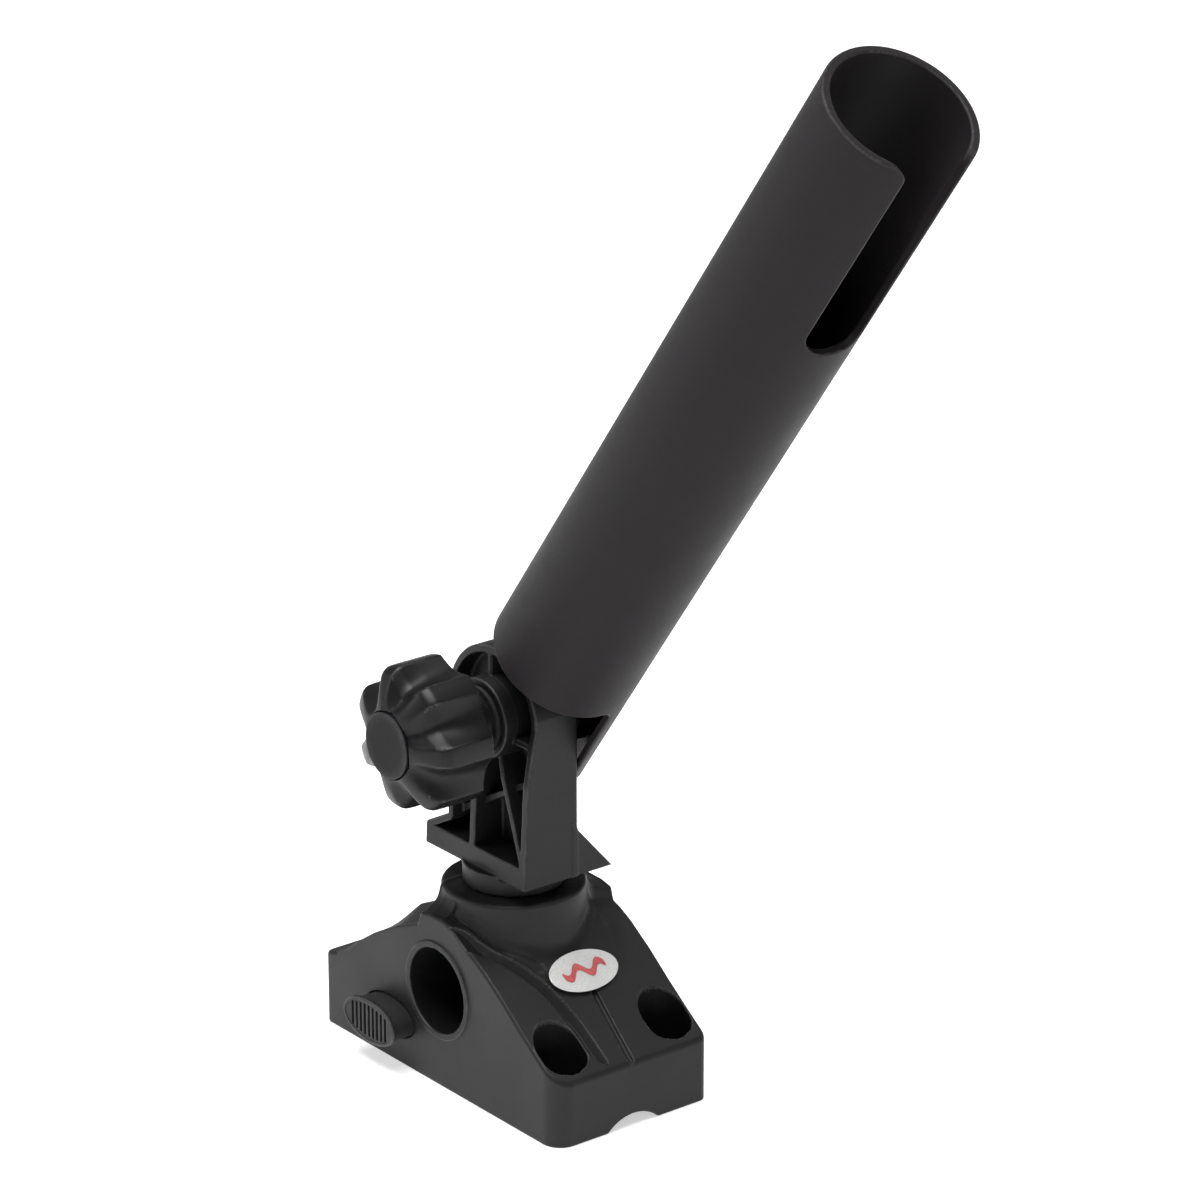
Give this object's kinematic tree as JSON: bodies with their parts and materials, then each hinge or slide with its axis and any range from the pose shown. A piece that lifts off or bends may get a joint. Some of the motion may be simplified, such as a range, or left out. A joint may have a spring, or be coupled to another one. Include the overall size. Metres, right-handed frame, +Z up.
{
  "type": "rod holder",
  "caption": "Swivelling fishing rod holder: slotted tube clamped by a lobed knob to an upright in a screw-down base with a release button.",
  "frame": {"origin": "on the mounting surface, where the turning axis of the upright meets it", "axes": "+Z up along the turning axis, +X the way the tube leans, clamp bolt along Y with the knob on -Y"},
  "size_m": [0.252, 0.0812, 0.3676],
  "materials": {
    "black_plastic": "fine-textured matt black moulding",
    "tube_plastic": "semi-gloss black extrusion",
    "knob_plastic": "satin black moulding",
    "white_badge": "glossy white label",
    "red_print": "flat red print",
    "steel": "plain stainless",
    "brass": "turned",
    "rubber": "matt"
  },
  "bodies": {
    "base": {"base_housing": "black_plastic", "bottom_cover": "black_plastic", "badge_plate": "white_badge", "badge_wave": "red_print", "cover_screw_1": "steel", "cover_screw_2": "steel", "cover_screw_3": "steel", "cover_screw_4": "steel", "button_spring_1": "steel", "button_spring_2": "steel"},
    "button": {"release_button": "black_plastic", "latch_plate": "steel"},
    "post": {"post_upright": "black_plastic"},
    "holder": {"rod_tube": "tube_plastic", "friction_washer": "rubber", "bolt_washer": "steel", "pivot_bolt": "steel"},
    "knob": {"knob_body": "knob_plastic", "knob_insert": "brass", "knob_cap": "knob_plastic", "pressure_washer": "rubber"}
  },
  "joints": [
    {"name": "post_swivel", "type": "hinge", "parent": "base", "child": "post", "pos_m": [0, 0, 0.065], "axis": [0, 0, 1], "continuous": true},
    {"name": "tube_tilt", "type": "hinge", "parent": "post", "child": "holder", "pos_m": [0, 0, 0.123], "axis": [0, 1, 0], "range_deg": [-126, 54]},
    {"name": "knob_turn", "type": "hinge", "parent": "holder", "child": "knob", "pos_m": [0, -0.035, 0.123], "axis": [0, -1, 0], "continuous": true},
    {"name": "button_press", "type": "slide", "parent": "base", "child": "button", "axis": [0, 1, 0], "range_m": [0, 0.0035], "stiffness_N_per_m": 600, "springref_m": -0.005, "deforming": ["button_spring_1", "button_spring_2"]}
  ]
}
